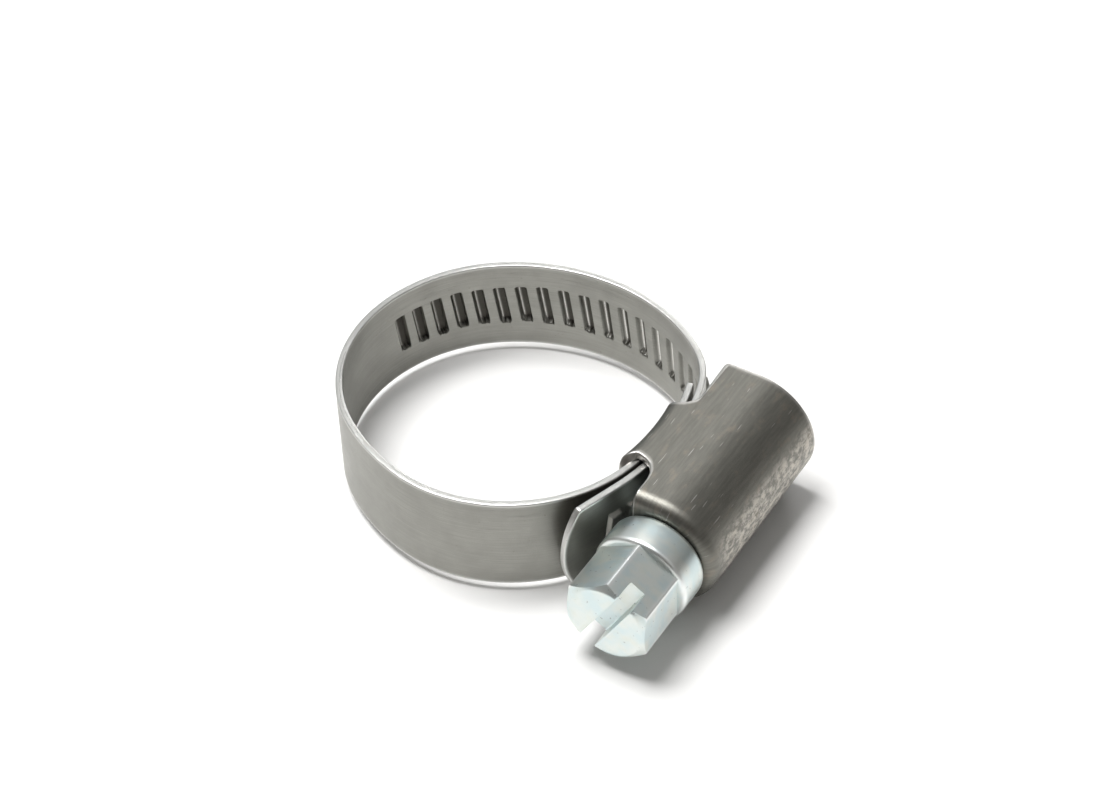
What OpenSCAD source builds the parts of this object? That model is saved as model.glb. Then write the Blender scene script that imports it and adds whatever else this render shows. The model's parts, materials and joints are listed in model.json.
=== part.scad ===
// Worm-drive hose clamp: toothed steel band, one-piece housing and worm screw.
// Origin at the centre of the hose, Z along the hose, housing on +X, screw along Y with its head towards -Y.

/* [Band] */
// Diameter of the hose circle that the band and the saddle just touch
hose_d = 27.5; // [24:0.1:34]
// Width of the band, along the hose
band_w = 9; // [7.5:0.1:12]
// Thickness of the band
band_t = 0.6; // [0.5:0.01:0.72]
// Half angle of the band's stretch that lies on the hose circle, opposite the housing
seat_half_angle = 57; // [55:1:60]
// Inner radius of the front flank, between the hose circle and the housing
front_flank_r = 20; // [18:0.5:26]
// Inner radius of the back flank
back_flank_r = 16.4; // [16.2:0.1:18]
// Angle, seen from the tunnel's curve centre, at which the fixed end leaves the saddle's curve
fixed_run_angle = 12; // [12:0.1:16]
// Gap between two stretches of the band, at each bend line
bend_gap = 0.12; // [0.08:0.01:0.2]

/* [Teeth] */
// Advance of the band for one turn of the screw
worm_pitch = 2; // [1.7:0.01:2.4]
// Width of a pressed rib, along the band
rib_w = 1; // [0.8:0.01:1.1]
// Length of a rib, across the band
rib_l = 4.2; // [3:0.1:5]
// Height of a rib over the band's outer face
rib_h = 0.42; // [0.3:0.01:0.5]
// Width of the pocket pressed behind each rib
pocket_w = 0.66; // [0.4:0.01:0.7]
// Length of the pocket
pocket_l = 3.9; // [2.5:0.1:4.7]
// Metal left between the pocket's floor and the rib's top
pocket_floor_t = 0.35; // [0.25:0.01:0.45]
// Slant of the teeth away from square across the band
tooth_slant = 8; // [5:0.5:9]
// Angle round the hose, from the housing, at which the row of teeth ends
row_end_angle = 170; // [126:1:172]
// Number of ribs between the screw and the free end
tail_ribs = 4; // [2:1:4]

/* [Band ends] */
// How far the fixed end reaches past the screw's middle, along Y
tongue_y = 6.5; // [5:0.1:6.7]
// How far along Y the free end keeps the tunnel's curve before it runs straight
tail_curve_y = 7; // [6.5:0.1:7.4]
// Length of the free end's straight tip, along the band
tail_tip_l = 5.6; // [3:0.1:8]
// Radius of the free end's rounded outline
tail_end_r = 7; // [5.5:0.1:12]

/* [Housing] */
// Thickness of the housing's sheet
sheet_t = 0.75; // [0.6:0.01:0.9]
// Inner radius of the saddle's curve
saddle_r = 20.45; // [18:0.05:24]
// Where the saddle ends on the head's side, along Y
saddle_near_y = 4.4; // [4:0.1:5]
// Where the saddle ends on the far side, along Y
saddle_far_y = 3.3; // [3:0.1:4]
// Outer radius of the housing's inner fold, along each edge of the saddle
fold_r = 1.15; // [0.95:0.05:1.3]
// Where the housing ends on the head's side, along Y
arch_near_y = 8.1; // [7.8:0.1:10]
// Where the housing ends on the far side, along Y
arch_far_y = 9.5; // [8:0.1:12]
// Distance of the arch's round from the screw's axis, towards the hose
arch_drop = 0.45; // [0:0.05:0.6]
// Height of the near mouth's side edges over the band's outer face
near_lift = 0.7; // [0.6:0.05:1.2]
// Height of the far overhang's side edges over the top of the band's curve, below it if negative
far_lift = -0.2; // [-0.3:0.05:1.2]
// Radius of the relief between the saddle and the near mouth
relief_r = 2.3; // [1.5:0.1:2.5]
// Where the side walls start on the head's side, along Y
wall_near_y = 3.5; // [3:0.1:3.7]
// Length of the slope between the saddle and the far overhang, along Y
far_slope_y = 1; // [0.5:0.1:1.8]

/* [Screw] */
// Outer radius of the worm thread
thread_r = 3.15; // [2.9:0.01:3.4]
// Radius of the screw's core between the threads
core_r = 2.5; // [2.3:0.01:2.7]
// Width of the thread at its crest
crest_w = 0.4; // [0.3:0.01:0.5]
// Width of the thread at the core
thread_root_w = 0.85; // [0.7:0.01:1]
// Where the thread ends, along Y from the middle of the housing
thread_far_y = 6.9; // [5:0.1:7.5]
// Radius of the neck that turns in the housing's end wall
neck_r = 2.3; // [2:0.05:2.4]
// Radius of the collar
collar_r = 4.2; // [3.9:0.05:4.5]
// Length of the collar
collar_l = 3.15; // [1.5:0.05:4]
// Chamfer on both edges of the collar
collar_chamfer = 0.25; // [0.1:0.05:0.5]
// Width of the hexagon across its flats
hex_af = 7; // [6:0.1:7.2]
// Length of the hexagon
hex_l = 5.25; // [4:0.05:7]
// Width of the screwdriver slot
slot_w = 1.5; // [1:0.05:2]
// Depth of the slot
slot_d = 2.1; // [1:0.05:3]

/* [Clearances] */
// Room between the hose circle and the saddle
saddle_clear = 0.1; // [0.05:0.01:0.2]
// Room between the saddle and the band's fixed end
seat_clear = 0.02; // [0.01:0.01:0.05]
// Room between the band's two layers in the tunnel
slide_clear = 0.3; // [0.25:0.01:0.4]
// Room between the thread's crest and the band's outer face
mesh_clear = 0.07; // [0.05:0.01:0.12]
// Room between the band's edges and the housing's side walls
edge_clear = 0.1; // [0.08:0.01:0.2]
// Room round the screw's neck, on the radius
neck_clear = 0.06; // [0.03:0.01:0.1]
// Play of the screw along its axis, at each face of the end wall
end_play = 0.1; // [0.06:0.01:0.15]

/* [Hidden] */
$fn = 96;
eps = 0.01;
// Angle that one flat of a bent stretch of band covers, at most
facet_angle = 3;
// Metal left inside the hose circle on the seat, for the bore to cut away
seat_stock = 0.05;
// Ribs, counted from the screw, that the free stretch carries on its ring side
slide_ribs = 3;
// Share of a pitch that a rib keeps from the start of the straight tip
rib_margin = 0.3;
// How far the side walls reach into the saddle's folds
wall_root = 0.3;

// The tunnel's curve: every layer in it is an arc about one upright line on the X axis
hose_r = hose_d / 2;
curve_x = hose_r + saddle_clear - saddle_r;
fixed_r = saddle_r + sheet_t + seat_clear;
slide_r = fixed_r + band_t + slide_clear;
slide_out_r = slide_r + band_t;
rib_line_r = slide_out_r + rib_h / 2;
screw_x = curve_x + slide_out_r + mesh_clear + thread_r;

// Half of the band's length between two bend lines is lost to the gap
half_gap = bend_gap / 2;
// Angle between two ribs in the tunnel, and their distance along the middle of the band
rib_angle = worm_pitch / rib_line_r * 180 / PI;
strip_pitch = (slide_r + band_t / 2) * rib_angle * PI / 180;
// Length of a slanted rib's half along the band, past its own middle
rib_reach = (rib_w / 2 + rib_l / 2 * tan(tooth_slant)) / cos(tooth_slant);
// The free stretch ends midway between two ribs
slide_run_angle = (slide_ribs + 0.5) * rib_angle;

// A unit vector at an angle
function dir(a) = [cos(a), sin(a)];
// Where the hose circle's arc hands over to a flank
seat_angle = 180 - seat_half_angle;
function flank_c(flank_r) = -(flank_r - hose_r) * dir(seat_angle);
// The shoulder is the arc that touches both the flank and the end of the tunnel's curve
function shoulder_gap(flank_r, run_r, run_a) = [curve_x, 0] + run_r * dir(run_a) - flank_c(flank_r);
function shoulder_r(flank_r, run_r, run_a) =
    let (m = shoulder_gap(flank_r, run_r, run_a))
    (flank_r * flank_r - m * m) / (2 * (flank_r - m * dir(run_a)));
function shoulder_c(flank_r, run_r, run_a) =
    [curve_x, 0] + (run_r - shoulder_r(flank_r, run_r, run_a)) * dir(run_a);
function flank_a(flank_r, run_r, run_a) =
    let (d = shoulder_c(flank_r, run_r, run_a) - flank_c(flank_r))
    atan2(d[1], d[0]);

// Each arc of the ring is [centre, inner radius, first angle, last angle], from the housing round
function ring_arcs(flank_r, run_r, run_a) =
    let (turn_a = flank_a(flank_r, run_r, run_a))
    [[shoulder_c(flank_r, run_r, run_a), shoulder_r(flank_r, run_r, run_a), run_a, turn_a],
     [flank_c(flank_r), flank_r, turn_a, seat_angle],
     [[0, 0], hose_r, seat_angle, 180]];
front_arcs = ring_arcs(front_flank_r, fixed_r, fixed_run_angle);
back_arcs = ring_arcs(back_flank_r, slide_r, slide_run_angle);

// Length of an arc along the middle of the band
function arc_l(arc) = (arc[1] + band_t / 2) * (arc[3] - arc[2]) * PI / 180;
// The arc that holds a point of the ring, and the point's angle on it
function on_arcs(arcs, s, i = 0) =
    s <= arc_l(arcs[i]) || i == len(arcs) - 1
    ? [arcs[i], arcs[i][2] + s / (arcs[i][1] + band_t / 2) * 180 / PI]
    : on_arcs(arcs, s - arc_l(arcs[i]), i + 1);

// Length of the toothed row on the back stretch, and the last rib that fits in it
row_l = arc_l(back_arcs[0]) + arc_l(back_arcs[1])
    + (hose_r + band_t / 2) * (row_end_angle - seat_angle) * PI / 180;
last_rib = slide_ribs + floor((row_l - rib_reach) / strip_pitch + 0.5);

// One exact arc of band, between two angles about a centre
module band_arc(centre, inner_r, first_a, last_a) {
    translate([centre[0], centre[1], -band_w / 2])
    rotate([0, 0, first_a])
    rotate_extrude(angle = last_a - first_a)
    translate([inner_r, 0])
    square([band_t, band_w]);
}

// Points along an arc, without its first one unless it is asked for
function arc_points(centre, r, first_a, last_a, with_first = false) =
    let (n = ceil(abs(last_a - first_a) / facet_angle))
    [for (i = [with_first ? 0 : 1 : n]) centre + r * dir(first_a + (last_a - first_a) * i / n)];
function reversed(list) = [for (i = [len(list) - 1 : -1 : 0]) list[i]];

// A strip of band standing on edge, between its inner and its outer outline
module strip(inner, outer) {
    translate([0, 0, -band_w / 2])
    linear_extrude(height = band_w)
    polygon(concat(inner, reversed(outer)));
}

// A rib's block or its pocket, standing on a radius at an angle about a centre
module tooth_block(centre, from_r, to_r, a, w, l) {
    translate([centre[0], centre[1], 0])
    rotate([0, 0, a])
    translate([(from_r + to_r) / 2, 0, 0])
    rotate([-tooth_slant, 0, 0])
    cube([to_r - from_r, w, l], center = true);
}

module rib(centre, inner_r, a) {
    tooth_block(centre, inner_r + band_t / 2, inner_r + band_t + rib_h, a, rib_w, rib_l);
}

module pocket(centre, inner_r, a) {
    tooth_block(centre, inner_r - band_t, inner_r + band_t + rib_h - pocket_floor_t, a, pocket_w, pocket_l);
}

// Fixed end: the inner layer, held in the saddle, with its tongue under the outer layer
module band_fixed_end() {
    tongue_angle = asin(tongue_y / fixed_r);
    gap_angle = half_gap / fixed_r * 180 / PI;
    color("silver")
    band_arc([curve_x, 0], fixed_r, -fixed_run_angle + gap_angle, tongue_angle);
}

// Outline of one side of the ring at a distance from its inner face, short of both bend lines by the gap
function side_points(arcs, offset_r) = [
    for (i = [0 : len(arcs) - 1])
        let (gap_angle = half_gap / arcs[i][1] * 180 / PI,
             first_a = arcs[i][2] + (i == 0 ? gap_angle : 0),
             last_a = arcs[i][3] - (i == len(arcs) - 1 ? gap_angle : 0),
             under = i == len(arcs) - 1 && offset_r == 0 ? seat_stock : 0)
        each arc_points(arcs[i][0], arcs[i][1] + offset_r - under, first_a, last_a, i == 0)];

// One side of the ring, at positive angles, bored to the hose circle where it lies on it
module ring_side(arcs) {
    difference() {
        strip(side_points(arcs, 0), side_points(arcs, band_t));
        cylinder(h = 2 * band_w, r = hose_r, center = true);
    }
}

// Front stretch: plain band from the saddle's near side to opposite the housing
module band_front() {
    color("silver")
    mirror([0, 1, 0])
    ring_side(front_arcs);
}

// Back stretch: toothed band from the far side of the housing to opposite it
module band_back() {
    color("silver")
    difference() {
        union() {
            ring_side(back_arcs);
            for (k = [slide_ribs + 1 : last_rib]) {
                at = on_arcs(back_arcs, (k - slide_ribs - 0.5) * strip_pitch);
                rib(at[0][0], at[0][1], at[1]);
            }
        }
        for (k = [slide_ribs + 1 : last_rib]) {
            at = on_arcs(back_arcs, (k - slide_ribs - 0.5) * strip_pitch);
            pocket(at[0][0], at[0][1], at[1]);
        }
    }
}

// Free end: the outer layer that the screw drives through the tunnel, then a straight rounded tip
tail_angle = asin(tail_curve_y / slide_r);
tail_curve_ribs = floor(tail_angle / rib_angle - rib_margin);

module tail_frame() {
    translate([curve_x, 0, 0])
    rotate([0, 0, -tail_angle])
    translate([slide_r, 0, 0])
    children();
}

// Outline of the free end at a distance from its inner face: the tunnel's curve, then the straight tip
function free_end_points(offset_r) =
    let (r = slide_r + offset_r, gap_angle = half_gap / slide_r * 180 / PI)
    concat(
        arc_points([curve_x, 0], r, slide_run_angle - gap_angle, -tail_angle, true),
        [[curve_x, 0] + r * dir(-tail_angle) + tail_tip_l * dir(-tail_angle - 90)]);

// The free end's blank, with its tip cut round
module free_end_blank() {
    intersection() {
        strip(free_end_points(0), free_end_points(band_t));
        tail_frame()
        translate([-band_t, tail_end_r - tail_tip_l, 0])
        rotate([0, 90, 0])
        union() {
            cylinder(h = 3 * band_t, r = tail_end_r);
            translate([-band_w, 0, -4 * band_w])
            cube([2 * band_w, 4 * band_w, 8 * band_w]);
        }
    }
}

// Ribs on the straight tip go on at the same pitch, measured along the band
module tip_tooth(k, from_x, to_x, w, l) {
    tail_frame()
    translate([(from_x + to_x) / 2, tail_angle / rib_angle * strip_pitch - k * strip_pitch, 0])
    rotate([-tooth_slant, 0, 0])
    cube([to_x - from_x, w, l], center = true);
}

module band_free_end() {
    color("silver")
    difference() {
        union() {
            free_end_blank();
            for (k = [-tail_curve_ribs : slide_ribs]) {
                rib([curve_x, 0], slide_r, k * rib_angle);
            }
            for (k = [tail_curve_ribs + 1 : tail_ribs]) {
                tip_tooth(k, band_t / 2, band_t + rib_h, rib_w, rib_l);
            }
        }
        for (k = [-tail_curve_ribs : slide_ribs]) {
            pocket([curve_x, 0], slide_r, k * rib_angle);
        }
        for (k = [tail_curve_ribs + 1 : tail_ribs]) {
            tip_tooth(k, -band_t, band_t + rib_h - pocket_floor_t, pocket_w, pocket_l);
        }
    }
}

// Housing: a saddle under the band, side walls round its edges and an arch over the screw
wall_in_z = band_w / 2 + edge_clear;
wall_out_z = wall_in_z + sheet_t;
arch_x = screw_x - arch_drop;
band_top_x = curve_x + slide_out_r;
near_edge_x = band_top_x + near_lift;
far_edge_x = band_top_x + far_lift;

// Section of the saddle and its two folds, radius along X and height along Y
module saddle_section() {
    difference() {
        union() {
            translate([saddle_r + fold_r, -wall_out_z])
            square([band_t + slide_clear, 2 * wall_out_z]);
            translate([saddle_r, -wall_out_z + fold_r])
            square([fold_r + eps, 2 * (wall_out_z - fold_r)]);
            for (side = [-1, 1]) {
                translate([saddle_r + fold_r, side * (wall_out_z - fold_r)])
                circle(r = fold_r);
            }
        }
        translate([saddle_r + sheet_t, -wall_in_z])
        square([fold_r + band_t + slide_clear, 2 * wall_in_z]);
    }
}

module saddle() {
    near_a = asin(saddle_near_y / saddle_r);
    far_a = asin(saddle_far_y / saddle_r);
    translate([curve_x, 0, 0])
    rotate([0, 0, -near_a])
    rotate_extrude(angle = near_a + far_a)
    saddle_section();
}

// Outline of a side wall in the XY plane, with the near relief and the far slope
module wall_outline() {
    wall_x = curve_x + saddle_r + fold_r - wall_root;
    relief_x = near_edge_x - relief_r;
    relief_y = -wall_near_y - relief_r;
    difference() {
        polygon([
            [wall_x, -wall_near_y],
            [wall_x, saddle_far_y - wall_root],
            [far_edge_x, saddle_far_y + far_slope_y],
            [far_edge_x, arch_far_y],
            [arch_x, arch_far_y],
            [arch_x, -arch_near_y],
            [near_edge_x, -arch_near_y],
            [near_edge_x, relief_y],
            [near_edge_x - relief_r, relief_y + relief_r],
        ]);
        translate([relief_x, relief_y])
        circle(r = relief_r);
    }
}

module side_walls() {
    for (side = [0, 1]) {
        mirror([0, 0, side])
        translate([0, 0, wall_in_z])
        linear_extrude(height = sheet_t)
        wall_outline();
    }
}

module arch() {
    arch_l = arch_near_y + arch_far_y;
    translate([arch_x, arch_far_y, 0])
    rotate([90, 0, 0])
    linear_extrude(height = arch_l)
    difference() {
        circle(r = wall_out_z);
        circle(r = wall_in_z);
        translate([-2 * wall_out_z, -2 * wall_out_z])
        square([2 * wall_out_z, 4 * wall_out_z]);
    }
}

// End wall on the head's side, with the open notch that the screw's neck turns in
module end_wall() {
    notch_r = neck_r + neck_clear;
    difference() {
        translate([0, sheet_t - arch_near_y, 0])
        rotate([90, 0, 0])
        linear_extrude(height = sheet_t)
        union() {
            translate([arch_x, 0])
            circle(r = wall_in_z + eps);
            translate([near_edge_x, -wall_in_z - eps])
            square([arch_x - near_edge_x, 2 * (wall_in_z + eps)]);
        }
        translate([0, -arch_near_y - eps, -2 * wall_in_z])
        cube([near_edge_x, sheet_t + 2 * eps, 4 * wall_in_z]);
        translate([screw_x, sheet_t + eps - arch_near_y, 0])
        rotate([90, 0, 0])
        cylinder(h = sheet_t + 2 * eps, r = notch_r);
        translate([near_edge_x - eps, -arch_near_y - eps, -notch_r])
        cube([screw_x - near_edge_x + eps, sheet_t + 2 * eps, 2 * notch_r]);
    }
}

module housing() {
    color("gray")
    union() {
        saddle();
        side_walls();
        arch();
        end_wall();
    }
}

// Worm screw, built upright about its own axis and then laid along Y
thread_steps = 24;
collar_top = -arch_near_y - end_play;
collar_bottom = collar_top - collar_l;
hex_bottom = collar_bottom - hex_l;
thread_start = -arch_near_y + sheet_t + end_play;
hex_corner_r = hex_af / 2 / cos(30);
// Chamfer on the hexagon's end: its height, and how far inside the flats it starts
hex_chamfer_h = 0.55;
hex_chamfer_in = 0.1;
// Turn of the slot about the screw's axis
slot_turn = 120;
// How far a cutting or trimming shape reaches past the metal
cut_over = 1;
// Chamfer on the core's far end
core_chamfer = 0.5;
// How deep the thread's foot is sunk into the core
thread_sink = 0.2;
// Share of its height that the thread keeps at its two tips, and what it gains in each of a turn's steps
thread_tip = 0.05;
thread_rise = 4 / thread_steps;

// One section of the thread, a trapezium that stands on the core at angle t
function thread_section(t, reach) =
    let (z = worm_pitch * t / 360, out_r = core_r + (thread_r - core_r) * reach)
    [for (p = [[core_r - thread_sink, -thread_root_w / 2], [out_r, -crest_w / 2],
               [out_r, crest_w / 2], [core_r - thread_sink, thread_root_w / 2]])
        [p[0] * cos(t), p[0] * sin(t), z + p[1]]];

module thread() {
    first_t = 360 / worm_pitch * (thread_start + thread_root_w / 2);
    last_t = 360 / worm_pitch * (thread_far_y - thread_root_w / 2);
    n = ceil((last_t - first_t) / 360 * thread_steps);
    step = (last_t - first_t) / n;
    points = [for (i = [0 : n])
        let (reach = min(1, thread_tip + thread_rise * i, thread_tip + thread_rise * (n - i)))
        each thread_section(first_t + i * step, reach)];
    sides = [for (i = [0 : n - 1], j = [0 : 3])
        [4 * i + j, 4 * i + (j + 1) % 4, 4 * i + 4 + (j + 1) % 4, 4 * i + 4 + j]];
    polyhedron(points, concat([[3, 2, 1, 0]], sides, [[4 * n, 4 * n + 1, 4 * n + 2, 4 * n + 3]]));
}

module hex_head() {
    difference() {
        intersection() {
            translate([0, 0, hex_bottom])
            rotate([0, 0, 30])
            cylinder(h = hex_l + eps, r = hex_corner_r, $fn = 6);
            translate([0, 0, hex_bottom])
            union() {
                cylinder(h = hex_chamfer_h, r1 = hex_af / 2 - hex_chamfer_in, r2 = hex_corner_r + eps);
                translate([0, 0, hex_chamfer_h])
                cylinder(h = hex_l, r = hex_corner_r + cut_over);
            }
        }
        rotate([0, 0, slot_turn])
        translate([-hex_corner_r - cut_over, -slot_w / 2, hex_bottom - cut_over])
        cube([2 * (hex_corner_r + cut_over), slot_w, slot_d + cut_over]);
    }
}

module collar() {
    translate([0, 0, collar_bottom])
    cylinder(h = collar_chamfer, r1 = collar_r - collar_chamfer, r2 = collar_r);
    translate([0, 0, collar_bottom + collar_chamfer])
    cylinder(h = collar_l - 2 * collar_chamfer, r = collar_r);
    translate([0, 0, collar_top - collar_chamfer])
    cylinder(h = collar_chamfer, r1 = collar_r, r2 = collar_r - collar_chamfer);
}

module worm_screw() {
    color("lightsteelblue")
    translate([screw_x, 0, 0])
    rotate([-90, 0, 0])
    union() {
        hex_head();
        collar();
        translate([0, 0, collar_top - eps])
        cylinder(h = thread_start - collar_top + 2 * eps, r = neck_r);
        translate([0, 0, thread_start])
        cylinder(h = thread_far_y - thread_start, r = core_r);
        translate([0, 0, thread_far_y])
        cylinder(h = core_chamfer, r1 = core_r, r2 = core_r - core_chamfer);
        thread();
    }
}

housing();
band_fixed_end();
band_front();
band_back();
band_free_end();
worm_screw();
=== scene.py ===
"""Looks of a worm-drive hose clamp: toothed strip, pressed housing and worm screw."""

import json
import math

import bpy
import numpy as np
from bpy.props import FloatProperty, FloatVectorProperty, IntProperty, PointerProperty
from mathutils import Matrix, Vector


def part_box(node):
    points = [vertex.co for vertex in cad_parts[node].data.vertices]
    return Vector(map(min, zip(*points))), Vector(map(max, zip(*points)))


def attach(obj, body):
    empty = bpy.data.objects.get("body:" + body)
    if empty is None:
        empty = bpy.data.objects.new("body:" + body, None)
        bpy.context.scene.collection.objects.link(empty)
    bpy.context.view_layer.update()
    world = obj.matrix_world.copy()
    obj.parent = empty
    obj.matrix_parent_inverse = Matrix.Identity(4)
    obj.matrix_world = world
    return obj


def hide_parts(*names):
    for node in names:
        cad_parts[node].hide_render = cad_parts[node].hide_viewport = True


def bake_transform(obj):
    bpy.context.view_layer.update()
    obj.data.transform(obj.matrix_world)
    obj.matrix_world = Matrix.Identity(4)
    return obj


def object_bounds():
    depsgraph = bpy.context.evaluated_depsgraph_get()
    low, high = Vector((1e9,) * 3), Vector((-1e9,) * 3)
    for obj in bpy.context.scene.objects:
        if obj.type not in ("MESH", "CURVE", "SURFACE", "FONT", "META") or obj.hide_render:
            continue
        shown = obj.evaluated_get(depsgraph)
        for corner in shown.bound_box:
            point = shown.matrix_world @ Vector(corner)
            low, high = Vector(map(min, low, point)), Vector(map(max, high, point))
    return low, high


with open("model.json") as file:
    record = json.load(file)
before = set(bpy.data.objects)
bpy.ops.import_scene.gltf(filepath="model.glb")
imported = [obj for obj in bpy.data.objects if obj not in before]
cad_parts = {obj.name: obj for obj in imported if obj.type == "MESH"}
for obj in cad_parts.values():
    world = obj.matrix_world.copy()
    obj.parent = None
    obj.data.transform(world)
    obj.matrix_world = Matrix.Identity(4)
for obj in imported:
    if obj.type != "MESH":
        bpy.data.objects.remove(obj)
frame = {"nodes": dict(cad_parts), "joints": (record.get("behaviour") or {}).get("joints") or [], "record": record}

bl_info = {
    "name": "Worm-drive hose clamp",
    "version": (1, 0, 0),
    "blender": (4, 5, 0),
    "location": "View3D > Sidebar > Hose clamp",
    "description": "Strip, housing and worm screw of a hose clamp on its packed frame",
    "category": "Object",
}

CAD_BOX = [list(corner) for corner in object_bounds()]
RECORD = frame["record"]
MOUNTS = {mount["name"]: mount for mount in RECORD["mounts"]}
JOINTS = {joint["name"]: joint for joint in frame["joints"]}
MM = 0.001

# Places of the CAD pieces, in millimetres
BOXES = {name: [np.array(corner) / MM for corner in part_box(name)] for name in frame["nodes"]}
HOSE_R = MOUNTS["hose_bore"]["dims"]["r_mm"]
SCREW_X = JOINTS["screw_turn"]["pos_m"][0] / MM
FLOOR_Z = CAD_BOX[0][2]
HOUSING_LOW, HOUSING_HIGH = BOXES["housing"]
SCREW_LOW, SCREW_HIGH = BOXES["worm_screw"]
ARCH_R = float(HOUSING_HIGH[2])
ARCH_X = float(HOUSING_HIGH[0]) - ARCH_R
STRIP_W = float(BOXES["band_front"][1][2] - BOXES["band_front"][0][2])
STRIP_T = float(-BOXES["band_front"][0][0]) - HOSE_R


# --- Sizes and colours ---


def size(name, text, value):
    """A length that a user may change, in millimetres."""
    return FloatProperty(name=name, description=text, default=value, min=0.0, precision=3)


def angle(name, text, degrees):
    """An angle that a user may change."""
    return FloatProperty(name=name, description=text, default=math.radians(degrees), subtype="ANGLE")


def colour(name, text, value):
    """A colour that a user may change."""
    return FloatVectorProperty(
        name=name, description=text, default=value, size=3, min=0.0, max=1.0, subtype="COLOR"
    )


class StripSizes(bpy.types.PropertyGroup):
    """Sizes and colours of the toothed strip."""

    curve_r: size("Tunnel curve", "Inner radius of the fixed layer in the tunnel", 21.22)
    layer_gap: size("Layer gap", "Room between the two layers in the tunnel", 0.3)
    front_flank_r: size("Front flank", "Inner radius of the front flank", 20.0)
    back_flank_r: size("Back flank", "Inner radius of the back flank", 16.4)
    tail_curve_y: size("Tail curve", "How far the free end keeps the tunnel's curve", 7.0)
    tip_l: size("Straight tip", "Length of the free end's straight tip", 5.6)
    tip_r: size("Tip outline", "Radius of the free end's rounded outline", 7.0)
    edge_r: size("Edge round", "Rounding of the strip's sheared edges", 0.11)
    tooth_pitch: size("Tooth pitch", "Distance of two teeth along the strip", 1.9555)
    tooth_h: size("Rib height", "Height of a rib over the outer face", 0.42)
    pocket_d: size("Pocket depth", "Depth of a pocket under the inner face", 0.5)
    pocket_w: size("Pocket width", "Width of a pocket's mouth along the strip", 1.14)
    pocket_l: size("Pocket length", "Length of a pocket across the strip", 4.1)
    slant: angle("Slant", "Slant of the teeth away from square", 8)
    ring_teeth: IntProperty(name="Ring teeth", description="Teeth from the screw round", default=22)
    tail_teeth: IntProperty(name="Tail teeth", description="Teeth towards the free end", default=4)
    steel: colour("Steel", "Colour of the rolled stainless strip", (0.325, 0.322, 0.296))
    # Pocket colour: painted shade that darkens the pressed pockets
    stain: colour("Pocket", "Colour of the dull pressed pockets", (0.075, 0.070, 0.060))


class HousingSizes(bpy.types.PropertyGroup):
    """Sizes and colours of the pressed housing."""

    sheet_t: size("Sheet", "Thickness of the sheet", 0.75)
    saddle_r: size("Saddle curve", "Inner radius of the saddle", 20.45)
    saddle_gap: size("Saddle gap", "Room between the hose circle and the saddle", 0.1)
    saddle_near: size("Saddle, head side", "Reach of the saddle towards the head", 4.4)
    saddle_far: size("Saddle, far side", "Reach of the saddle away from the head", 3.3)
    fold_r: size("Fold", "Outer radius of the folds along the saddle", 1.15)
    bend_r: size("End bend", "Outer radius of the bend into the end wall", 1.15)
    near_edge_x: size("Near edge", "Place of the near mouth's side edges", 16.82)
    far_edge_x: size("Far edge", "Place of the far overhang's side edges", 15.92)
    relief_r: size("Relief", "Radius of the near relief", 2.3)
    wall_near: size("Wall start", "Where the side walls start towards the head", 3.5)
    neck_hole_r: size("Neck hole", "Radius of the hole for the screw's neck", 2.36)
    edge_r: size("Edge round", "Rounding of the cut edges", 0.16)
    steel: colour("Steel", "Colour of the dull pressed stainless sheet", (0.215, 0.211, 0.188))


class ScrewSizes(bpy.types.PropertyGroup):
    """Sizes and colours of the worm screw."""

    hex_af: size("Across flats", "Width of the hexagon across its flats", 7.0)
    hex_l: size("Hexagon", "Length of the hexagon", 5.25)
    corner_r: size("Hex corner", "Rounding of the hexagon's long edges", 0.22)
    chamfer_r: size("Chamfer start", "Radius at which the end chamfer starts", 3.3)
    slot_w: size("Slot width", "Width of the driver slot", 1.5)
    slot_d: size("Slot depth", "Depth of the driver slot", 2.1)
    slot_turn: angle("Slot turn", "Turn of the slot about the screw's axis", -30)
    collar_l: size("Collar", "Length of the collar", 3.15)
    sheet_t: size("End wall", "Thickness of the housing's end wall, with play", 0.85)
    neck_r: size("Neck", "Radius of the neck", 2.3)
    core_r: size("Core", "Radius of the core between the threads", 2.5)
    thread_r: size("Thread", "Outer radius of the thread", 3.15)
    pitch: size("Pitch", "Pitch of the worm thread", 2.0)
    zinc: colour("Zinc", "Colour of the bright zinc plating", (0.76, 0.80, 0.77))


class StageSizes(bpy.types.PropertyGroup):
    """Floor, light and camera."""

    floor: colour("Floor", "Colour of the pale floor", (0.88, 0.875, 0.865))
    sky: FloatProperty(name="Sky", description="Strength of the soft light all round", default=0.5)
    key: FloatProperty(name="Key", description="Power of the large soft light", default=1.0)


GROUPS = {
    "hose_clamp_strip": StripSizes,
    "hose_clamp_housing": HousingSizes,
    "hose_clamp_screw": ScrewSizes,
    "hose_clamp_stage": StageSizes,
}


# --- Meshes ---

# Degrees of turn past which an edge stays sharp
SHARP_ANGLE = 60
HEAD_SHARP_ANGLE = 28


def grid_quads(rows, columns, close_rows=False, close_columns=False, first=0):
    """Quads of a grid of points numbered row by row; a closed direction joins its last to its first."""
    r = np.arange(rows if close_rows else rows - 1)[:, None]
    c = np.arange(columns if close_columns else columns - 1)[None, :]
    r_next = (r + 1) % rows
    c_next = (c + 1) % columns
    quads = np.stack(
        np.broadcast_arrays(r * columns + c, r * columns + c_next, r_next * columns + c_next,
                            r_next * columns + c), axis=-1)
    return quads.reshape(-1, 4) + first


def paired_cap(ring):
    """Quads that close an even ring of points by joining each point to its partner on the other side."""
    half = len(ring) // 2
    one, other = ring[:half], ring[::-1][:half]
    return np.stack([one[:-1], one[1:], other[1:], other[:-1]], axis=-1)


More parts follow.
